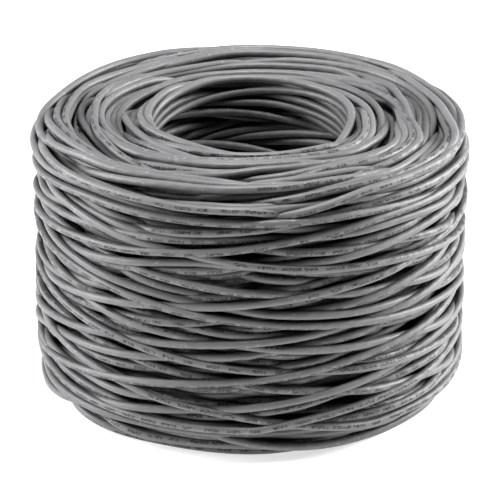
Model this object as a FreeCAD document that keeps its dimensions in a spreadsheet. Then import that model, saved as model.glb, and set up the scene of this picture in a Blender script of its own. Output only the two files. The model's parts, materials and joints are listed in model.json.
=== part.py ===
import FreeCAD, Part
import Sketcher
import math
import os

# A coil of round network cable, cross-wound on a mandrel that has been drawn out, so that it
# stands on its own as a thick hollow cylinder. Frame: the coil's axis is Z, it stands on Z = 0,
# and its front is towards -Y. Sizes are in millimetres.

STRETCHES = 6  # the cable is one piece; each stretch of it fills one shell of the coil
COLOURS = ("blue", "orange", "green", "brown")  # one twisted pair of each

SIZES = [
    ("coil_outer_radius", 170.0),
    ("coil_bore_radius", 77.0),
    ("coil_height", 222.0),
    ("outer_rim_radius", 22.0),
    ("bore_rim_radius", 9.0),
    ("cable_radius", 3.15),
    ("jacket_wall", 0.59),
    ("foil_thickness", 0.1),
    ("wrap_thickness", 0.1),
    ("insulation_radius", 0.47),
    ("copper_radius", 0.2555),
    ("drain_radius", 0.25),
    ("rip_cord_radius", 0.3),
    ("pair_offset", 1.38),
    ("wire_offset", 0.48),
    ("side_gap", 0.02),
    ("end_length", 30.0),
    ("cut_space_length", 14.0),
    ("cut_space_radius", 4.4),
    ("slot_depth", 12.0),
    ("outer_end_level", 84.0),
    ("inner_end_level", 140.0),
]

document = FreeCAD.newDocument("NetworkCableCoil")
sheet = document.addObject("Spreadsheet::Sheet", "Sizes")
for row, (alias, value) in enumerate(SIZES, start=1):
    sheet.set(f"A{row}", alias)
    sheet.set(f"B{row}", str(value))
    sheet.setAlias(f"B{row}", alias)
document.recompute()

nodes = []


def size(alias):
    """The sheet's value of a driving dimension."""
    return float(getattr(sheet, alias))


def node(item, name):
    """Makes an object one of the part's pieces."""
    item.Label = name
    nodes.append(item)
    return item


def cylinder(name, radius, length):
    """A cylinder on the Z axis from Z = 0, with its radius and height bound to the sheet."""
    item = document.addObject("Part::Cylinder", name)
    item.setExpression("Radius", radius)
    item.setExpression("Height", length)
    return item


def cut(name, base, tool):
    item = document.addObject("Part::Cut", name)
    item.Base = base
    item.Tool = tool
    return item


def fuse(name, base, tool):
    item = document.addObject("Part::Fuse", name)
    item.Base = base
    item.Tool = tool
    return item


# ---------------------------------------------------------------- the coil's outer shape


def origin_plane(body, role):
    for feature in body.Origin.OriginFeatures:
        if feature.Role == role:
            return feature
    raise RuntimeError(f"{body.Name} has no {role}")


def rectangle_sketch(body, name):
    """The coil's section, a rectangle from the bore to the outside, in the XZ plane."""
    sketch = body.newObject("Sketcher::SketchObject", name)
    sketch.AttachmentSupport = (origin_plane(body, "XZ_Plane"), [""])
    sketch.MapMode = "FlatFace"
    left = size("coil_bore_radius")
    right = size("coil_outer_radius")
    top = size("coil_height")
    corners = [(left, 0), (right, 0), (right, top), (left, top)]
    for i in range(4):
        start = FreeCAD.Vector(*corners[i], 0)
        end = FreeCAD.Vector(*corners[(i + 1) % 4], 0)
        sketch.addGeometry(Part.LineSegment(start, end), False)
    for i in range(4):
        sketch.addConstraint(Sketcher.Constraint("Coincident", i, 2, (i + 1) % 4, 1))
    for i, direction in enumerate(("Horizontal", "Vertical", "Horizontal", "Vertical")):
        sketch.addConstraint(Sketcher.Constraint(direction, i))
    sketch.addConstraint(Sketcher.Constraint("PointOnObject", 0, 1, -1))
    named = [
        ("bore", Sketcher.Constraint("DistanceX", -1, 1, 0, 1, left), "coil_bore_radius"),
        ("outside", Sketcher.Constraint("DistanceX", -1, 1, 0, 2, right), "coil_outer_radius"),
        ("height", Sketcher.Constraint("DistanceY", 1, 1, 1, 2, top), "coil_height"),
    ]
    for label, constraint, alias in named:
        index = sketch.addConstraint(constraint)
        sketch.renameConstraint(index, label)
        sketch.setExpression(f"Constraints.{label}", f"Sizes.{alias}")
    return sketch


def rim_edges(shape, radius):
    """The names of the circular edges of that radius at the top and bottom of the coil."""
    names = []
    for i, edge in enumerate(shape.Edges, start=1):
        curve = edge.Curve
        if isinstance(curve, Part.Circle) and abs(curve.Radius - radius) < 0.01:
            names.append(f"Edge{i}")
    return names


def rounded(body, base, name, edge_radius, rim):
    """Rounds the two rims of one radius."""
    fillet = body.newObject("PartDesign::Fillet", name)
    fillet.Base = (base, rim_edges(base.Shape, edge_radius))
    fillet.setExpression("Radius", f"Sizes.{rim}")
    document.recompute()
    return fillet


def coil_envelope():
    """The outer shape of the whole coil: a hollow cylinder with rounded rims."""
    body = document.addObject("PartDesign::Body", "CoilEnvelope")
    sketch = rectangle_sketch(body, "CoilSection")
    document.recompute()
    revolution = body.newObject("PartDesign::Revolution", "CoilRevolution")
    revolution.Profile = sketch
    revolution.ReferenceAxis = (sketch, ["V_Axis"])
    revolution.Angle = 360.0
    document.recompute()
    outside = rounded(
        body, revolution, "OuterRims", size("coil_outer_radius"), "outer_rim_radius"
    )
    rounded(body, outside, "BoreRims", size("coil_bore_radius"), "bore_rim_radius")
    return body


# ---------------------------------------------------------------- the cable's two cut ends


def end_placement(y, level):
    """Local Z runs along the cable to its cut face, which looks towards -X."""
    start = FreeCAD.Vector(size("end_length") / 2, y, level)
    return FreeCAD.Placement(start, FreeCAD.Rotation(FreeCAD.Vector(0, 1, 0), -90))


def slot(name, radius, length, start):
    """A round-bottomed slot along local Z, open towards local +Y."""
    bed = cylinder(f"{name}Bed", radius, length)
    mouth = document.addObject("Part::Box", f"{name}Mouth")
    mouth.setExpression("Length", f"2 * {radius}")
    mouth.setExpression("Width", "Sizes.slot_depth")
    mouth.setExpression("Height", length)
    mouth.setExpression("Placement.Base.x", f"-{radius}")
    whole = fuse(name, bed, mouth)
    whole.setExpression("Placement.Base.z", start)
    return whole


def groove(prefix, placement):
    """The space that an end lies in, and the free space in front of its cut face. Both open
    towards +Y: out of the coil at its back, and into the bore at its front."""
    held = slot(f"{prefix}Held", "Sizes.cable_radius", "Sizes.end_length", "0")
    free = slot(
        f"{prefix}Free",
        "Sizes.cut_space_radius",
        "Sizes.cut_space_length",
        "Sizes.end_length",
    )
    whole = fuse(f"{prefix}Groove", held, free)
    whole.Placement = placement
    return whole


def tube(name, outer_radius, inner_radius, length):
    outer = cylinder(f"{name}_outside", outer_radius, length)
    inner = cylinder(f"{name}_inside", inner_radius, length)
    return cut(name, outer, inner)


def placed_at(placement, angle, distance):
    """The placement moved sideways off the cable's axis."""
    shift = FreeCAD.Vector(
        distance * math.cos(math.radians(angle)), distance * math.sin(math.radians(angle)), 0
    )
    return placement.multiply(FreeCAD.Placement(shift, FreeCAD.Rotation()))


def cable_end(prefix, placement):
    """Jacket, foil screen, wrap, drain wire, rip cord and four pairs, square cut. The inner
    pieces stand out of the jacket by a little, each by its own amount."""
    foil_radius = "(Sizes.cable_radius - Sizes.jacket_wall)"
    wrap_radius = f"({foil_radius} - Sizes.foil_thickness)"
    core_radius = f"({wrap_radius} - Sizes.wrap_thickness)"
    layers = [
        ("jacket", "Sizes.cable_radius", foil_radius, 0.0),
        ("foil_screen", foil_radius, wrap_radius, 0.7),
        ("polyester_wrap", wrap_radius, core_radius, 0.4),
    ]
    for name, outside, inside, proud in layers:
        piece = tube(f"{prefix}_{name}", outside, inside, f"Sizes.end_length + {proud}")
        piece.Placement = placement
        node(piece, f"{prefix}_{name}")

    core = (
        size("cable_radius")
        - size("jacket_wall")
        - size("foil_thickness")
        - size("wrap_thickness")
    )
    strands = [
        ("drain_wire", "drain_radius", 90.0, 3.5),
        ("rip_cord", "rip_cord_radius", 270.0, 5.0),
    ]
    for name, radius, angle, proud in strands:
        piece = cylinder(
            f"{prefix}_{name}", f"Sizes.{radius}", f"Sizes.end_length + {proud}"
        )
        distance = core - size(radius) - size("side_gap")
        piece.Placement = placed_at(placement, angle, distance)
        node(piece, f"{prefix}_{name}")

    for i, colour in enumerate(COLOURS):
        pair_angle = 45.0 + 90.0 * i
        pair = placed_at(placement, pair_angle, size("pair_offset"))
        twist = pair_angle + 25.0 + 40.0 * i
        wires = [(colour, twist, 1.0 + 0.3 * i), (f"white_{colour}", twist + 180.0, 1.7 - 0.2 * i)]
        for wire, angle, proud in wires:
            place = placed_at(pair, angle, size("wire_offset"))
            insulation = tube(
                f"{prefix}_{wire}_insulation",
                "Sizes.insulation_radius",
                "Sizes.copper_radius",
                f"Sizes.end_length + {proud}",
            )
            insulation.Placement = place
            node(insulation, f"{prefix}_{wire}_insulation")
            copper = cylinder(
                f"{prefix}_{wire}_copper",
                "Sizes.copper_radius",
                f"Sizes.end_length + {proud + 0.3}",
            )
            copper.Placement = place
            node(copper, f"{prefix}_{wire}_copper")


# ---------------------------------------------------------------- the shells of the coil


def boundary(i):
    """The radius between two shells, so that all shells have nearly the same volume."""
    return (
        "sqrt(Sizes.coil_bore_radius ^ 2 + (Sizes.coil_outer_radius ^ 2"
        f" - Sizes.coil_bore_radius ^ 2) * {i} / {STRETCHES})"
    )


def coil_shell(envelope, number):
    """The outer shape of one stretch of the winding, counted from the bore."""
    ring = cylinder(f"Ring{number}Outside", boundary(number), "Sizes.coil_height")
    bore = cylinder(f"Ring{number}Inside", boundary(number - 1), "Sizes.coil_height")
    shell = document.addObject("Part::Common", f"Shell{number}")
    shell.Base = envelope
    shell.Tool = cut(f"Ring{number}", ring, bore)
    return shell


envelope = coil_envelope()
outer_end = end_placement(
    size("coil_outer_radius") - size("cable_radius"), size("outer_end_level")
)
inner_end = end_placement(
    -(size("coil_bore_radius") + size("cable_radius")), size("inner_end_level")
)
outer_groove = groove("Outer", outer_end)
inner_groove = groove("Inner", inner_end)

for number in range(1, STRETCHES + 1):
    shell = coil_shell(envelope, number)
    if number == 1:
        shell = cut("InnermostShell", shell, inner_groove)
    if number == STRETCHES:
        shell = cut("OutermostShell", shell, outer_groove)
    node(shell, f"winding_stretch_{number}")
cable_end("outer_end", outer_end)
cable_end("inner_end", inner_end)
document.recompute()

# ---------------------------------------------------------------- tests and output

for item in document.Objects:
    if "Invalid" in item.State or "Error" in item.State:
        raise RuntimeError(f"{item.Label} failed: {item.State}")
for item in nodes:
    if item.Shape.isNull() or not item.Shape.isValid() or not item.Shape.Solids:
        raise RuntimeError(f"{item.Label} has no valid solid")

os.makedirs("parts", exist_ok=True)
for item in nodes:
    item.Shape.exportStep(os.path.join("parts", f"{item.Label}.step"))
    print(f"{item.Label}: {item.Shape.Volume:.1f} mm3, {len(item.Shape.Solids)} solid(s)")
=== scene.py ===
"""A bare coil of grey network cable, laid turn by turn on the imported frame.

The whole 305 m cable is here. A small simulation winds it on a mandrel: the cable runs to and fro
between the coil's two faces, slides into the valleys between the turns below it, and spans them as
a taut, slightly stiff line. That gives a coil much wider than the real one. It is then squeezed
towards the axis until it is as wide as it should be, and this makes many turns cut into each
other. The winding is worked out in millimetres and drawn in metres.
"""

import json
import math

import bpy
import numpy as np
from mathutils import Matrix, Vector


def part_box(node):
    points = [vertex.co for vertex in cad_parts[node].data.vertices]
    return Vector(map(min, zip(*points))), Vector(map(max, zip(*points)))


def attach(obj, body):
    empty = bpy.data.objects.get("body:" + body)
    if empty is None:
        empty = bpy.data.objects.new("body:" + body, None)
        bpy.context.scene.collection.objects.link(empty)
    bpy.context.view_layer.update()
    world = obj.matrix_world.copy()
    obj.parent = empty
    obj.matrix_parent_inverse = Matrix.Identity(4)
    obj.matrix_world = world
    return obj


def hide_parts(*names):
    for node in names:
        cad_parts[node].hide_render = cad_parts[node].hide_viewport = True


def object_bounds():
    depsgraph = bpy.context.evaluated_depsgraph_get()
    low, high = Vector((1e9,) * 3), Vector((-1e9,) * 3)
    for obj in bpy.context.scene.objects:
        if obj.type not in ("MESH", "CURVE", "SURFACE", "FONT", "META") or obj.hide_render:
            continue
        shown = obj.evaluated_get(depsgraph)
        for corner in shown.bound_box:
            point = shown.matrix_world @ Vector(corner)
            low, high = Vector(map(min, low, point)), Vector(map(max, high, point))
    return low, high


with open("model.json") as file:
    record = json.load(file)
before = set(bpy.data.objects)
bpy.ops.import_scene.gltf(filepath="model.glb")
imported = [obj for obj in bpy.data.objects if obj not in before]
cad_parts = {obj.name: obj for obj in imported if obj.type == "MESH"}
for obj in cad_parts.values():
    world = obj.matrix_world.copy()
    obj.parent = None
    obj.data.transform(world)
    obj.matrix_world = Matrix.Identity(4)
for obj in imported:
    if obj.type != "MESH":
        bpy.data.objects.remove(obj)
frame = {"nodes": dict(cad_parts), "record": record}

CAD_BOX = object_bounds()
MM = 0.001

# ---------------------------------------------------------------- sizes, in millimetres

STRETCHES = 6
OUTER_END_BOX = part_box("outer_end_jacket")
INNER_END_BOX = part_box("inner_end_jacket")

HEIGHT = (CAD_BOX[1][2] - CAD_BOX[0][2]) / MM
BORE_R = frame["record"]["mounts"][0]["dims"]["r_mm"]
OUTER_RIM = 20.0
BORE_RIM = 9.0
CABLE = (INNER_END_BOX[1][2] - INNER_END_BOX[0][2]) / MM
# The winding rests a cable on the surface below it as if both were this thick. That is only
# straight in towards the axis. Side by side, and once the coil is pressed round, turns come
# nearer than this, and many of them cut into each other.
CONTACT = 6.0
CONTACT_R = CONTACT / 2


def centre_mm(box, axis):
    return (box[0][axis] + box[1][axis]) / 2 / MM


# Where each end's straight piece takes over from the winding, and how far it is from the axis.
END_X = OUTER_END_BOX[1][0] / MM
OUTER_END_Y = centre_mm(OUTER_END_BOX, 1)
OUTER_END_Z = centre_mm(OUTER_END_BOX, 2)
INNER_END_Y = centre_mm(INNER_END_BOX, 1)
INNER_END_Z = centre_mm(INNER_END_BOX, 2)

# ---------------------------------------------------------------- camera

LENS = 192.0  # mm
DISTANCE = 2.131
ELEVATION = math.radians(23.6)
AIM = Vector((0, 0, 0.1022))


def add_camera():
    data = bpy.data.cameras.new("camera")
    data.sensor_width = 36.0
    data.lens = LENS
    camera = bpy.data.objects.new("camera", data)
    bpy.context.scene.collection.objects.link(camera)
    away = Vector((0, -math.cos(ELEVATION), math.sin(ELEVATION)))
    camera.location = AIM + DISTANCE * away
    camera.rotation_euler = (-away).to_track_quat("-Z", "Y").to_euler()
    bpy.context.scene.camera = camera


# ---------------------------------------------------------------- the winding

COLUMNS = 240  # columns of the surface map round the coil
STEP = 2 * math.pi / COLUMNS
ROW = 0.5  # height of one row of the map
ROWS = int(round(HEIGHT / ROW))
NEAR_ROWS = np.arange(-7, 8)

# The frame has the last 30 mm at each end as straight pieces. The drawn cable leaves the inner one
# and arrives at the outer one at these angles. The winding that is worked out also has the straight
# pieces and the free space before each cut face, so that no turn comes there.
QUARTER = math.pi / 2
CUT_SPACE = 14.0
INNER_LEAVE = -QUARTER + math.atan2(END_X, -INNER_END_Y)
OUTER_ARRIVE = QUARTER - math.atan2(END_X, OUTER_END_Y)
INNER_SPAN = math.atan2(END_X, -INNER_END_Y) + math.atan2(END_X + CUT_SPACE, -INNER_END_Y)
OUTER_SPAN = math.atan2(END_X, OUTER_END_Y) + math.atan2(END_X + CUT_SPACE, OUTER_END_Y)
INNER_COLUMNS = math.ceil(INNER_SPAN / STEP)
OUTER_COLUMNS = math.ceil(OUTER_SPAN / STEP) + 1
INNER_START = INNER_LEAVE - INNER_COLUMNS * STEP
WHOLE_TURNS = 396
COUNT = int(round((WHOLE_TURNS * 2 * math.pi + OUTER_ARRIVE - INNER_START) / STEP)) + OUTER_COLUMNS

# Once up the coil and down again is a cycle. It takes fewer turns as the coil grows. Inside, each
# cycle lies beside the one before. Outside, each starts two sevenths of a turn on, so that only
# every seventh cycle lies beside an earlier one and the turns cross in every direction.
# Each row: until this turn, turns a cycle, cycles before a neighbour, steps until the pattern closes.
CYCLES = ((52, 5, 1, 11), (144, 4, 1, 14), (310, 3, 1, 19), (1000, 3, 7, 12.5))
LEAP = 2  # sevenths of a turn
ADVANCE_SPREAD = 2.0 / 360.0
CORNER_SHARPNESS = 0.92  # 1 is a traverse that turns on the spot
EDGE_SPREAD = 20.0  # how far short of the face a traverse may turn back
EDGE_PUSH = 4.0  # how far past the face a traverse aims, so that the cable is laid flat there
WANDER = 2.0  # how far the cable strays from its traverse, slowly
WANDER_TURNS = 0.35

# The next three are guesses, tuned, and not measured on a cable.
TENSION = 20.0  # N
STIFFNESS = 6000.0  # N mm2
PRESS = 1.5  # N per mm2, how hard a jacket pushes back

CHUNK = COLUMNS // 2
LOOK_AHEAD = COLUMNS // 4
LOOSE_R = 178.0  # at this radius, as it is wound, the rims are rounded in full; it grows past it
PRESSED_R = 166.8  # where its surface lies on average afterwards, gaps included
PRESSED_DEPTH = 0.8  # the outermost part of the winding keeps its thickness
PRESS_ROWS = 24
STRAIGHTENED = 9
PRESS_COLUMNS = 12
FACE_SKIN = 3.0  # nearer to the faces than this, the winding follows what it does this deep
EASE = COLUMNS // 6  # over this stretch the cable eases from the winding into its straight ends
PROUD = 1.0  # turns that stand further out of the pressed surface than this are pushed back
PROUD_PRESSED = 0.65
UNDER_END = 30.0  # the turns this near to the outer end give way to it

random = np.random.default_rng(7)


def section(z):
    """The map's rows that a cable at height z covers, and its half thickness on each."""
    middle = np.floor(z / ROW).astype(int)
    rows = np.clip(middle[:, None] + NEAR_ROWS[None, :], 0, ROWS - 1)
    away = (rows + 0.5) * ROW - z[:, None]
    half = np.sqrt(np.clip(CONTACT_R**2 - away**2, 0, None))
    return rows, half, np.abs(away) < CONTACT_R


def lowest_radius(surface, z, columns):
    """How near the axis a cable's centre may come at each height and column."""
    rows, half, inside = section(z)
    radius = np.where(inside, surface[rows, columns[:, None]] + half, 0.0)
    return radius.max(axis=1)


def lay_down(surface, z, columns, radius):
    """Raises the surface map to the top of the cable just laid."""
    rows, half, inside = section(z)
    wide = np.broadcast_to(columns[:, None], rows.shape)
    top = np.where(inside, radius[:, None] + half, 0.0)
    surface[rows, wide] = np.maximum(surface[rows, wide], top)


SHIFTS = np.arange(-8.0, 9.0)  # how far sideways the cable may be moved into a valley
NODE_EVERY = 10  # points of the cable that share one choice of shift
SHIFT_STIFF = 0.3  # what a change of shift costs
SHIFT_CENTRE = 0.03  # what being far from the traverse costs
SHIFT_SMOOTHING = 25
SHIFT_LEAD = 20  # points over which a chunk leaves the shift of the one before
CONTACT_ROUNDS = 10
MEAN_KEPT = 0.9  # how much of the winding's mean radius stays when a chunk is laid
MEAN_TAKEN = 0.1  # and how much comes from that chunk


def find_valleys(surface, z, columns, last_shift):
    """The sideways shift, point by point, that lets the cable slide into the lowest places."""
    nodes = np.arange(0, len(z), NODE_EVERY)
    counts = np.diff(np.append(nodes, len(z)))
    cost = np.empty((len(nodes), len(SHIFTS)))
    for i, shift in enumerate(SHIFTS):
        shifted = np.clip(z + shift, CONTACT_R, HEIGHT - CONTACT_R)
        radius = lowest_radius(surface, shifted, columns)
        cost[:, i] = np.add.reduceat(radius, nodes) / counts
    cost += SHIFT_CENTRE * SHIFTS[None, :] ** 2
    change = SHIFT_STIFF * (SHIFTS[:, None] - SHIFTS[None, :]) ** 2
    total = cost[0] + 4 * SHIFT_STIFF * (SHIFTS - last_shift) ** 2
    came_from = []
    for node in range(1, len(nodes)):
        options = total[:, None] + change
        best = options.argmin(axis=0)
        came_from.append(best)
        total = options[best, np.arange(len(SHIFTS))] + cost[node]
    way = [int(total.argmin())]
    for best in reversed(came_from):
        way.append(int(best[way[-1]]))
    return np.interp(np.arange(len(z)), nodes + (NODE_EVERY - 1) / 2, SHIFTS[way[::-1]])


stiffness_matrices = {}


def line_matrix(count, spacing):
    """The stiffness of a line of count + 2 points under bending and tension."""
    key = (count, spacing)
    if key not in stiffness_matrices:
        points = count + 2
        bend = np.zeros((points - 2, points))
        i = np.arange(points - 2)
        bend[i, i] = bend[i, i + 2] = 1
        bend[i, i + 1] = -2
        pull = np.zeros((points - 1, points))
        i = np.arange(points - 1)
        pull[i, i] = -1
        pull[i, i + 1] = 1
        matrix = STIFFNESS / spacing**3 * bend.T @ bend + TENSION / spacing * pull.T @ pull
        stiffness_matrices[key] = matrix
    return stiffness_matrices[key]


def pull_tight(floor, before):
    """The radius of a taut cable that rests on floor and goes on from the two points before."""
    count = len(floor)
    start = float(before[-1])
    spacing = round(start * STEP, 1)
    matrix = line_matrix(count, spacing)
    load = np.full(count, -TENSION / start * spacing) - matrix[2:, :2] @ before
    press = PRESS * spacing
    touching = np.ones(count, bool)
    diagonal = np.arange(count)
    for _ in range(CONTACT_ROUNDS):
        system = matrix[2:, 2:].copy()
        system[diagonal, diagonal] += press * touching
        radius = np.linalg.solve(system, load + press * touching * floor)
        now = floor > radius
        if (now == touching).all():
            break
        touching = now
    return radius


def smooth(t):
    t = np.clip(t, 0.0, 1.0)
    return t * t * (3 - 2 * t)


def eased(values, width):
    """The values averaged over a bell of the given width."""
    bell = np.hanning(width + 2)[1:-1]
    bell /= bell.sum()
    return np.convolve(np.pad(values, width // 2, mode="edge"), bell, mode="valid")


def triangle_wave(phase):
    wave = np.arcsin(CORNER_SHARPNESS * np.sin(2 * math.pi * phase))
    return wave / math.asin(CORNER_SHARPNESS)


def phase_at(height):
    """The part of a cycle at which the cable, on its way up, passes a height."""
    wave = (height - HEIGHT / 2) / (HEIGHT / 2 - CABLE)
    return math.asin(math.sin(wave * math.asin(CORNER_SHARPNESS)) / CORNER_SHARPNESS) / (2 * math.pi)


def traverse(count):
    """The cable's place between the faces, from -1 to 1, and how far short of them it turns."""
    starts = [0.0]
    while starts[-1] * COLUMNS < count:
        turns, apart, steps = next(cycle[1:] for cycle in CYCLES if starts[-1] < cycle[0])
        leap = LEAP / apart if apart > 1 else 0
        advance = leap + 1 / steps / apart + ADVANCE_SPREAD * random.standard_normal()
        starts.append(starts[-1] + turns + advance)
    phase = np.interp(np.arange(count) / COLUMNS, starts, np.arange(len(starts)))
    phase += (phase_at(OUTER_END_Z) - phase[COUNT]) % 1
    short = EDGE_SPREAD * random.random(2 * len(starts) + 4)
    corner = 2 * phase + 0.5
    index = corner.astype(int)
    blend = smooth(corner - index)
    return triangle_wave(phase), short[index] * (1 - blend) + short[index + 1] * blend


def wander(count):
    """A slow sideways stray along the cable."""
    knots = int(count / COLUMNS / WANDER_TURNS) + 2
    values = WANDER * random.standard_normal(knots)
    stray = np.interp(np.arange(count) / COLUMNS / WANDER_TURNS, np.arange(knots), values)
    return eased(stray, COLUMNS // 5 * 2 + 1)


def rim_inset(radius):
    """How far the rounded rims keep the cable from the faces at this radius."""
    outside = min(max(0.0, radius - (LOOSE_R - OUTER_RIM)), OUTER_RIM)
    inside = min(max(0.0, (BORE_R + BORE_RIM) - radius), BORE_RIM)
    at_outer = OUTER_RIM - math.sqrt(OUTER_RIM**2 - outside**2)
    at_bore = BORE_RIM - math.sqrt(BORE_RIM**2 - inside**2)
    return at_outer + at_bore


def inner_line(angle):
    """The radius of the inner end's straight line at each angle."""
    return -INNER_END_Y / np.cos(angle + QUARTER)


def outer_line(angle):
    """The radius of the outer end's straight line at each angle."""
    return OUTER_END_Y / np.cos(angle - QUARTER)


def wind():
    """Angle, radius and height of the whole cable as it is wound, and the surface it leaves."""
    count = COUNT
    wave, short = traverse(count + 2 * COLUMNS)
    stray = wander(count + 2 * COLUMNS)
    surface = np.full((ROWS, COLUMNS), BORE_R)
    angle = INNER_START + np.arange(count + 2 * COLUMNS) * STEP
    radius = np.empty(count)
    height = np.empty(count)
    start = inner_line(angle[:INNER_COLUMNS])
    before = start[:2]
    mean_radius = before[0]
    shift = 0.0
    at = 0
    while at < count:
        laid = min(CHUNK, count - at)
        ahead = CHUNK + LOOK_AHEAD
        here = np.arange(at, at + ahead)
        columns = here % COLUMNS
        reach = HEIGHT / 2 - CABLE / 2 + EDGE_PUSH - rim_inset(mean_radius) - short[here]
        z = HEIGHT / 2 + reach * wave[here] + stray[here]
        z = np.clip(z, HEIGHT / 2 - reach, HEIGHT / 2 + reach)
        shifts = eased(find_valleys(surface, z, columns, shift), SHIFT_SMOOTHING)
        lead = smooth(np.arange(ahead) / SHIFT_LEAD)
        z = z + shift * (1 - lead) + shifts * lead
        z = np.clip(z, HEIGHT / 2 - reach, HEIGHT / 2 + reach)
        leaving = smooth((here - INNER_COLUMNS) / COLUMNS)
        z = INNER_END_Z * (1 - leaving) + z * leaving
        arriving = smooth((count - OUTER_COLUMNS - 2 - here) / EASE)
        z = OUTER_END_Z * (1 - arriving) + z * arriving
        z = np.clip(z, CABLE / 2, HEIGHT - CABLE / 2)
        tight = pull_tight(lowest_radius(surface, z, columns), before)
        if at == 0:
            tight[:INNER_COLUMNS] = start
        radius[at : at + laid] = tight[:laid]
        height[at : at + laid] = z[:laid]
        lay_down(surface, z[:laid], columns[:laid], tight[:laid])
        shift = shifts[laid - 1]
        before = tight[laid - 2 : laid]
        mean_radius = MEAN_KEPT * mean_radius + MEAN_TAKEN * tight[:laid].mean()
        at += laid
    return angle[:count], radius, height, surface


def blurred(field, rows, columns):
    """The field averaged over a bell, round the coil and up it."""
    up = np.hanning(2 * rows + 1)
    up /= up.sum()
    padded = np.pad(field, ((rows, rows), (0, 0)), mode="edge")
    field = sum(weight * padded[i : i + len(field)] for i, weight in enumerate(up))
    round_coil = np.hanning(2 * columns + 1)
    round_coil /= round_coil.sum()
    return sum(w * np.roll(field, i - columns, axis=1) for i, w in enumerate(round_coil))


def press_under_end(angle, pressed):
    """How far in, column by column, the cable's outer end pushes the turns under it."""
    last = np.arange(len(angle) - OUTER_COLUMNS, len(angle))
    proud = np.maximum(pressed[last] - outer_line(angle[last]), 0)
    around = np.concatenate([[last[0] - EASE], last, [last[-1] + EASE]])
    here = np.arange(around[0], around[-1] + 1)
    push = np.zeros(COLUMNS)
    push[here % COLUMNS] = np.interp(here, around, np.concatenate([[0], proud, [0]]))
    return push


def meet_ends(angle, radius):
    """The cable's first and last parts led onto the straight lines of its ends."""
    ease = smooth(np.arange(EASE) / EASE)
    first = INNER_COLUMNS + 2
    last = len(angle) - OUTER_COLUMNS - 2
    miss = inner_line(angle[first]) - radius[first]
    radius[first : first + EASE] += miss * (1 - ease)
    radius[:first] = inner_line(angle[:first])
    miss = outer_line(angle[last]) - radius[last]
    radius[last - EASE : last] += miss * ease
    radius[last:] = outer_line(angle[last:])
    return radius


def press_round(angle, radius, height, surface):
    """The same winding squeezed in, so that its outside is even and as wide as the coil. Turns
    aren't kept from each other here, and many end up cut into."""
    from_face = np.minimum(np.arange(ROWS) + 0.5, ROWS - np.arange(ROWS) - 0.5) * ROW
    from_face = np.maximum(from_face, FACE_SKIN)
    short = np.maximum(OUTER_RIM - from_face, 0.0)
    wanted = PRESSED_R - (OUTER_RIM - np.sqrt(OUTER_RIM**2 - short**2))
    skin = int(FACE_SKIN / ROW)
    wall = surface.copy()
    wall[:skin] = wall[skin]
    wall[-skin:] = wall[-skin - 1]
    wall = blurred(wall, PRESS_ROWS, PRESS_COLUMNS)
    row = np.clip((height / ROW).astype(int), 0, ROWS - 1)
    column = np.arange(len(angle)) % COLUMNS
    outside = wall[row, column]
    depth = smooth((radius - BORE_R) / (outside - BORE_R) / PRESSED_DEPTH)
    pressed = radius - (outside - wanted[row]) * depth
    proud = np.maximum(pressed - wanted[row] - PROUD, 0)
    pressed -= proud * PROUD_PRESSED
    nearness = smooth(1 - abs(height - OUTER_END_Z) / UNDER_END)
    pressed -= press_under_end(angle, pressed)[column] * nearness * depth
    return meet_ends(angle, eased(pressed, STRAIGHTENED))


# ---------------------------------------------------------------- from the winding to cable

RING_SPACING = 6.5  # from one ring of the drawn cable to the next
SIDES = 12
BAKE_MAP = "OFBake"  # a bake of the materials is laid out on the map of this name
STRIP_MARGIN = 0.06  # the part of a strip's height left free on both sides of it
STRIP_FILL = 0.98  # the part of the square's width that a strip takes


def length_along(points):
    """How far along the line through the points each of them is."""
    steps = np.linalg.norm(np.diff(points, axis=0), axis=1)
    return np.concatenate([[0.0], np.cumsum(steps)])


def control_points(angle, radius, height):
    """Evenly spaced points from the inner end's straight piece to the outer end's."""
    keep = slice(INNER_COLUMNS, len(angle) - OUTER_COLUMNS - 1)
    angle, radius, height = angle[keep], radius[keep], height[keep]
    points = np.column_stack([radius * np.cos(angle), radius * np.sin(angle), height])
    points = np.vstack([points, (END_X, OUTER_END_Y, OUTER_END_Z)])
    length = length_along(points)
    even = np.linspace(0, length[-1], round(length[-1] / RING_SPACING) + 1)
    return np.column_stack([np.interp(even, length, points[:, axis]) for axis in range(3)]) * MM


def spline_points(name, points):
    """Points read along the smooth NURBS line that the given points control."""
    curve = bpy.data.curves.new(name, "CURVE")
    curve.dimensions = "3D"
    spline = curve.splines.new("NURBS")
    spline.points.add(len(points) - 1)
    flat = np.column_stack([points, np.ones(len(points))]).ravel()
    spline.points.foreach_set("co", flat)
    spline.order_u = 3
    spline.use_endpoint_u = True
    spline.resolution_u = 1
    line = bpy.data.objects.new(name, curve)
    mesh = bpy.data.meshes.new_from_object(line)
    found = np.empty(len(mesh.vertices) * 3)
    mesh.vertices.foreach_get("co", found)
    bpy.data.objects.remove(line)
    bpy.data.curves.remove(curve)
    bpy.data.meshes.remove(mesh)
    return found.reshape(-1, 3)


def unit(vectors):
    return vectors / np.linalg.norm(vectors, axis=1, keepdims=True)


def add_map(mesh, name, u, v):
    """A UV map in which the quads go from one u to the next, and from one v to the next round the
    cable. The two caps lie on the first and the last ring's line."""
    quads_u = np.stack([u[0], u[0], u[1], u[1]], axis=-1)
    quads_v = np.stack([v[0], v[1], v[1], v[0]], axis=-1)
    all_u = np.concatenate([quads_u.ravel(), u[0][0], u[1][-1]])
    all_v = np.concatenate([quads_v.ravel(), v[0][0][::-1], v[0][-1]])
    layer = mesh.uv_layers.new(name=name)
    layer.data.foreach_set("uv", np.column_stack([all_u, all_v]).ravel())


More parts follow.
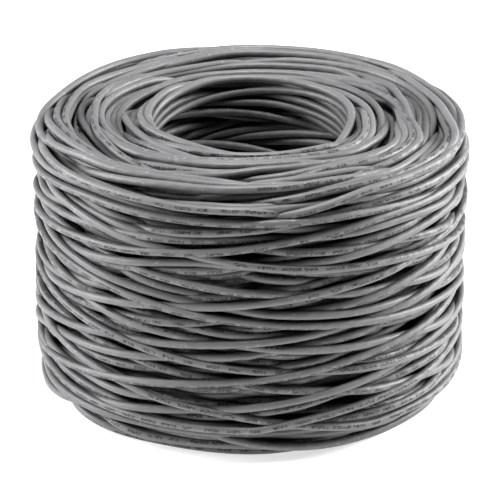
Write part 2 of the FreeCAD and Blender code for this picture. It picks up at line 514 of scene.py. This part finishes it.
def add_maps(mesh, length):
    """The cable's own map, in metres along it and turns about it, and one cut into strips that lie
    one above the other in a square, so that a bake has room for the whole stretch."""
    side = np.arange(SIDES)[None, :] / SIDES + np.zeros(len(length) - 1)[:, None]
    next_side = side + 1 / SIDES
    start = length[:-1, None] + 0 * side
    end = length[1:, None] + 0 * side
    add_map(mesh, "cable", (start, end), (side, next_side))
    whole = length[-1] - length[0]
    strips = round(math.sqrt(whole / (math.pi * CABLE * MM)))
    start = (start - length[0]) / whole * strips
    end = (end - length[0]) / whole * strips
    strip = np.floor(start)
    across = [(strip + STRIP_MARGIN + (1 - 2 * STRIP_MARGIN) * v) / strips for v in (side, next_side)]
    along = [STRIP_MARGIN / strips + (u - strip) * STRIP_FILL for u in (start, end)]
    add_map(mesh, BAKE_MAP, along, across)


def cable_mesh(name, path, start_length, material):
    """A round, closed tube along path. The flat caps at its ends have their own points."""
    along = unit(np.gradient(path, axis=0))
    outward = path * np.array([1.0, 1.0, 0.0])
    outward = unit(outward - (outward * along).sum(1, keepdims=True) * along)
    up = np.cross(along, outward)
    turn = np.linspace(0, 2 * math.pi, SIDES, endpoint=False)
    ring = outward[:, None, :] * np.cos(turn)[None, :, None]
    ring = ring + up[:, None, :] * np.sin(turn)[None, :, None]
    points = path[:, None, :] + CABLE / 2 * MM * ring
    points = np.concatenate([points, points[:1], points[-1:]])
    count = len(path)
    side = np.arange(SIDES)
    first = (np.arange(count - 1) * SIDES)[:, None] + side[None, :]
    second = (np.arange(count - 1) * SIDES)[:, None] + (side[None, :] + 1) % SIDES
    quads = np.stack([first, second, second + SIDES, first + SIDES], axis=-1).reshape(-1, 4)
    start_cap = count * SIDES + side[::-1]
    end_cap = (count + 1) * SIDES + side
    corners = np.concatenate([quads.ravel(), start_cap, end_cap])
    sizes = np.concatenate([np.full(len(quads), 4), [SIDES, SIDES]])
    mesh = bpy.data.meshes.new(name)
    mesh.vertices.add(points.size // 3)
    mesh.vertices.foreach_set("co", points.ravel())
    mesh.loops.add(len(corners))
    mesh.loops.foreach_set("vertex_index", corners)
    mesh.polygons.add(len(sizes))
    mesh.polygons.foreach_set("loop_start", np.cumsum(sizes) - sizes)
    mesh.polygons.foreach_set("loop_total", sizes)
    mesh.update()
    mesh.validate()
    mesh.polygons.foreach_set("use_smooth", sizes == 4)
    length = start_length + length_along(path)
    add_maps(mesh, length)
    mesh.materials.append(material)
    piece = bpy.data.objects.new(name, mesh)
    bpy.context.scene.collection.objects.link(piece)
    return piece, length[-1]


def add_cable(material):
    angle, radius, height, surface = wind()
    radius = press_round(angle, radius, height, surface)
    points = control_points(angle, radius, height)
    cuts = np.linspace(0, len(points) - 1, STRETCHES + 1).round().astype(int)
    at = 0.0
    for number in range(1, STRETCHES + 1):
        name = f"cable_stretch_{number}"
        part = points[cuts[number - 1] : cuts[number] + 1]
        path = spline_points(name, part)
        piece, end = cable_mesh(name, path, at, material)
        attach(piece, "root")
        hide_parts(f"winding_stretch_{number}")
        at = end


# ---------------------------------------------------------------- materials


class Nodes:
    """A material and short ways to add nodes to it. An input is a number, a colour or a socket."""

    def __init__(self, name):
        self.material = bpy.data.materials.new(name)
        self.material.use_nodes = True
        self.tree = self.material.node_tree
        self.shader = self.tree.nodes["Principled BSDF"]

    def put(self, socket, value):
        if isinstance(value, bpy.types.NodeSocket):
            self.tree.links.new(value, socket)
        else:
            socket.default_value = value

    def add(self, kind, settings=None, **inputs):
        node = self.tree.nodes.new(kind)
        for name, value in (settings or {}).items():
            setattr(node, name, value)
        for name, value in inputs.items():
            self.put(node.inputs[name], value)
        return node

    def math(self, operation, first, second=0.0, third=0.0):
        node = self.add("ShaderNodeMath", {"operation": operation})
        for socket, value in zip(node.inputs, (first, second, third)):
            self.put(socket, value)
        return node.outputs[0]

    def blend(self, amount, first, second):
        """A colour or number between first and second."""
        kind = "RGBA" if not isinstance(first, float) else "FLOAT"
        node = self.add("ShaderNodeMix", {"data_type": kind})
        named = [s for s in node.inputs if s.enabled]
        for socket, value in zip(named, (amount, first, second)):
            self.put(socket, value)
        return next(s for s in node.outputs if s.enabled)

    def noise(self, scale, detail=2.0, vector=None, along=None):
        settings = {"noise_dimensions": "1D" if along is not None else "3D"}
        node = self.add("ShaderNodeTexNoise", settings, Scale=scale, Detail=detail)
        if vector is not None:
            self.put(node.inputs["Vector"], vector)
        if along is not None:
            self.put(node.inputs["W"], along)
        return node.outputs["Fac"]

    def place(self):
        return self.add("ShaderNodeTexCoord").outputs["Object"]

    def bump(self, height, distance, strength=1.0, under=None):
        node = self.add("ShaderNodeBump", Height=height, Distance=distance, Strength=strength)
        if under is not None:
            self.put(node.inputs["Normal"], under)
        return node.outputs["Normal"]


JACKET_DARK = (0.155, 0.156, 0.158, 1)
JACKET_LIGHT = (0.228, 0.228, 0.230, 1)
JACKET_SCUFF = (0.36, 0.36, 0.36, 1)
INK = (0.012, 0.012, 0.013, 1)
PRINT_TWIST = 1.0  # the marks stray by up to half of this, in turns, about the cable's outer side
PRINT_DRIFTS = 0.9  # and they do so about this many times a metre
PRINT_HALF = 0.062  # half the height of the printed band, as a part of the way round the cable
PRINT_ROWS = 4.0  # rows of specks in half a band
SPECK = 0.0007  # m, the length of a speck
GROUP = 0.017  # m from one group of specks to the next
GROUP_LEAST = 0.4  # the part of a group that is always printed
GROUP_SPREAD = 0.55  # and the part that may be
SPECK_OVER = 0.42  # a random number over this is a speck
PRINTED_PART = 0.72  # of each metre
INK_STRENGTH = 0.74
SCUFF_OVER = 0.66  # the jacket is scuffed where the noise is over this
SCUFF_STRENGTH = 0.35
PAIR_RIPPLE = 0.013  # m from one swelling of the jacket to the next


def printed_specks(kit, along, around):
    """1 where a band of abstract specks is printed along the cable, and 0 elsewhere."""
    drift = kit.noise(PRINT_DRIFTS, 1.0, along=along)
    twist = kit.math("MULTIPLY", drift, PRINT_TWIST)
    side = kit.math("SUBTRACT", kit.math("FRACT", kit.math("ADD", around, twist)), 0.5)
    across = kit.math("DIVIDE", side, PRINT_HALF)
    cell = kit.add("ShaderNodeCombineXYZ")
    kit.put(cell.inputs[0], kit.math("FLOOR", kit.math("DIVIDE", along, SPECK)))
    kit.put(cell.inputs[1], kit.math("FLOOR", kit.math("MULTIPLY", across, PRINT_ROWS / 2)))
    random_speck = kit.add("ShaderNodeTexWhiteNoise", {"noise_dimensions": "2D"})
    kit.put(random_speck.inputs["Vector"], cell.outputs[0])
    inked = kit.math("GREATER_THAN", random_speck.outputs["Value"], SPECK_OVER)
    band = kit.math("LESS_THAN", kit.math("ABSOLUTE", across), 1.0)
    groups = kit.math("DIVIDE", along, GROUP)
    random_group = kit.add("ShaderNodeTexWhiteNoise", {"noise_dimensions": "1D"})
    kit.put(random_group.inputs["W"], kit.math("FLOOR", groups))
    length = kit.math("MULTIPLY_ADD", random_group.outputs["Value"], GROUP_SPREAD, GROUP_LEAST)
    printed = kit.math("LESS_THAN", kit.math("FRACT", groups), length)
    printing = kit.math("LESS_THAN", kit.math("FRACT", along), PRINTED_PART)
    marks = kit.math("MULTIPLY", kit.math("MULTIPLY", inked, band), printed)
    return kit.math("MULTIPLY", marks, printing)


def jacket_material(name, wound):
    """Grey PVC: satin, mottled, scuffed and grained. The wound cable's is also printed, and rippled
    by the pairs inside. Both follow the cable's own map, which the short end pieces don't have."""
    kit = Nodes(name)
    place = kit.place()
    grey = kit.blend(kit.noise(38.0, 4.0, place), JACKET_DARK, JACKET_LIGHT)
    scuff = kit.noise(260.0, 3.0, place)
    scuffed = kit.math("MULTIPLY", kit.math("GREATER_THAN", scuff, SCUFF_OVER), SCUFF_STRENGTH)
    ripples = None
    if wound:
        cable = kit.add("ShaderNodeUVMap", {"uv_map": "cable"}).outputs["UV"]
        split = kit.add("ShaderNodeSeparateXYZ", Vector=cable)
        along, around = split.outputs["X"], split.outputs["Y"]
        tone = kit.math("MULTIPLY_ADD", kit.noise(0.35, 1.0, along=along), 0.3, 0.85)
        toned = kit.add("ShaderNodeVectorMath", {"operation": "SCALE"}, Scale=tone, Vector=grey)
        grey = kit.blend(scuffed, toned.outputs[0], JACKET_SCUFF)
        ink = kit.math("MULTIPLY", printed_specks(kit, along, around), INK_STRENGTH)
        kit.put(kit.shader.inputs["Base Color"], kit.blend(ink, grey, INK))
        turn = kit.math("MULTIPLY_ADD", around, 2.0, kit.math("DIVIDE", along, PAIR_RIPPLE))
        ripple = kit.math("SINE", kit.math("MULTIPLY", turn, 2 * math.pi))
        ripples = kit.bump(ripple, 0.00005)
    else:
        kit.put(kit.shader.inputs["Base Color"], kit.blend(scuffed, grey, JACKET_SCUFF))
    rough = kit.math("MULTIPLY_ADD", kit.noise(90.0, 3.0, place), 0.2, 0.36)
    kit.put(kit.shader.inputs["Roughness"], rough)
    kit.shader.inputs["Specular IOR Level"].default_value = 0.45
    grain = kit.bump(kit.noise(1500.0, 2.0, place), 0.00006, under=ripples)
    kit.put(kit.shader.inputs["Normal"], grain)
    return kit.material


def metal(name, dull, bright, rough, lines):
    """Metal with drawing or rolling lines along X, clean in places and dull in others."""
    kit = Nodes(name)
    place = kit.place()
    tarnish = kit.noise(900.0, 3.0, place)
    kit.put(kit.shader.inputs["Base Color"], kit.blend(tarnish, dull, bright))
    kit.put(kit.shader.inputs["Roughness"], kit.math("MULTIPLY_ADD", tarnish, 0.2, rough))
    kit.shader.inputs["Metallic"].default_value = 1.0
    stretched = kit.add("ShaderNodeMapping", Vector=place, Scale=(0.05, 1.0, 1.0))
    drawn = kit.noise(lines, 2.0, stretched.outputs[0])
    kit.put(kit.shader.inputs["Normal"], kit.bump(drawn, 0.00001))
    return kit.material


def film():
    """Thin polyester wrap, milky and glossy, with small creases."""
    kit = Nodes("film")
    place = kit.place()
    milky = kit.blend(kit.noise(500.0, 2.0, place), (0.62, 0.65, 0.66, 1), (0.78, 0.8, 0.8, 1))
    kit.put(kit.shader.inputs["Base Color"], milky)
    rough = kit.math("MULTIPLY_ADD", kit.noise(700.0, 2.0, place), 0.2, 0.1)
    kit.put(kit.shader.inputs["Roughness"], rough)
    kit.put(kit.shader.inputs["Normal"], kit.bump(kit.noise(1200.0, 2.0, place), 0.00003))
    return kit.material


def rip_cord():
    """Twisted polyester yarn."""
    kit = Nodes("rip_cord")
    place = kit.place()
    split = kit.add("ShaderNodeSeparateXYZ", Vector=place)
    across = kit.math("MULTIPLY", split.outputs["Z"], 9000.0)
    lay = kit.math("MULTIPLY_ADD", split.outputs["X"], 4000.0, across)
    fibre = kit.math("MULTIPLY_ADD", kit.math("SINE", lay), 0.5, 0.5)
    yarn = kit.blend(fibre, (0.4, 0.38, 0.31, 1), (0.68, 0.65, 0.56, 1))
    kit.put(kit.shader.inputs["Base Color"], yarn)
    kit.shader.inputs["Roughness"].default_value = 0.8
    kit.put(kit.shader.inputs["Normal"], kit.bump(fibre, 0.00005))
    return kit.material


def insulation(name, colour, striped):
    """Glossy polyethylene in one colour, slightly cloudy, or white with a stripe of it."""
    kit = Nodes(name)
    place = kit.place()
    cloud = kit.noise(600.0, 2.0, place)
    shade = tuple(0.75 * part for part in colour[:3]) + (1,)
    paint = kit.blend(cloud, shade, colour)
    if striped:
        within = kit.add("ShaderNodeTexCoord").outputs["Generated"]
        split = kit.add("ShaderNodeSeparateXYZ", Vector=within)
        in_stripe = kit.math("GREATER_THAN", split.outputs["Z"], 0.78)
        white = kit.blend(cloud, (0.62, 0.62, 0.6, 1), (0.76, 0.76, 0.74, 1))
        paint = kit.blend(in_stripe, white, paint)
    kit.put(kit.shader.inputs["Base Color"], paint)
    kit.put(kit.shader.inputs["Roughness"], kit.math("MULTIPLY_ADD", cloud, 0.15, 0.25))
    kit.put(kit.shader.inputs["Normal"], kit.bump(kit.noise(2500.0, 2.0, place), 0.00001))
    return kit.material


PAIR_COLOURS = {
    "blue": (0.02, 0.09, 0.45, 1),
    "orange": (0.85, 0.2, 0.02, 1),
    "green": (0.02, 0.27, 0.06, 1),
    "brown": (0.13, 0.05, 0.02, 1),
}


def dress_ends():
    """Gives each piece of the frame's two cable ends its material."""
    looks = {
        "jacket": jacket_material("end_jacket_pvc", False),
        "foil_screen": metal("foil", (0.55, 0.56, 0.57, 1), (0.84, 0.85, 0.86, 1), 0.18, 2500.0),
        "polyester_wrap": film(),
        "drain_wire": metal("tinned_wire", (0.45, 0.46, 0.47, 1), (0.72, 0.73, 0.74, 1), 0.25, 9000.0),
        "rip_cord": rip_cord(),
    }
    copper = metal("copper", (0.55, 0.2, 0.1, 1), (0.92, 0.48, 0.3, 1), 0.2, 9000.0)
    for name, colour in PAIR_COLOURS.items():
        looks[f"{name}_insulation"] = insulation(f"{name}_insulation", colour, False)
        looks[f"white_{name}_insulation"] = insulation(f"white_{name}_insulation", colour, True)
        looks[f"{name}_copper"] = looks[f"white_{name}_copper"] = copper
    for end in ("outer_end", "inner_end"):
        for piece, look in looks.items():
            node = frame["nodes"][f"{end}_{piece}"]
            for slot in node.material_slots:
                slot.material = look


# ---------------------------------------------------------------- light and floor


def area_light(name, place, aim, size, power):
    data = bpy.data.lights.new(name, "AREA")
    data.shape = "RECTANGLE"
    data.size, data.size_y = size
    data.energy = power
    lamp = bpy.data.objects.new(name, data)
    lamp.location = place
    toward = Vector(aim) - Vector(place)
    lamp.rotation_euler = toward.to_track_quat("-Z", "Y").to_euler()
    bpy.context.scene.collection.objects.link(lamp)


def add_light():
    world = bpy.data.worlds.new("studio")
    world.use_nodes = True
    world.node_tree.nodes["Background"].inputs["Color"].default_value = (1, 1, 1, 1)
    world.node_tree.nodes["Background"].inputs["Strength"].default_value = 0.02
    bpy.context.scene.world = world
    middle = (0, 0, 0.1)
    area_light("left_box", (-1.6, 0.0, 0.8), middle, (1.0, 1.0), 29)
    area_light("right_box", (1.6, 0.4, 0.8), middle, (1.0, 1.0), 41)
    area_light("top_box", (0, -0.2, 1.9), middle, (0.5, 0.5), 26)


def add_floor():
    """A pale floor that turns up a little at its far edges, so that low views have it behind them."""
    mesh = bpy.data.meshes.new("floor")
    half = 6.0
    upturn = 0.9
    sides = ((-half, -half), (half, -half), (half, half), (-half, half))
    corners = [(x, y, z) for z in (0.0, upturn) for x, y in sides]
    walls = [(i, (i + 1) % 4, (i + 1) % 4 + 4, i + 4) for i in range(4)]
    mesh.from_pydata(corners, [], [(0, 1, 2, 3), *walls])
    kit = Nodes("pale_floor")
    kit.shader.inputs["Base Color"].default_value = (0.7, 0.7, 0.7, 1)
    kit.shader.inputs["Roughness"].default_value = 0.8
    kit.shader.inputs["Emission Color"].default_value = (1, 1, 1, 1)
    kit.shader.inputs["Emission Strength"].default_value = 0.45
    mesh.materials.append(kit.material)
    floor = bpy.data.objects.new("floor", mesh)
    bpy.context.scene.collection.objects.link(floor)


add_camera()
add_cable(jacket_material("jacket_pvc", True))
dress_ends()
add_light()
add_floor()
bpy.context.scene.view_settings.view_transform = "Standard"
bpy.context.scene.view_settings.look = "High Contrast"
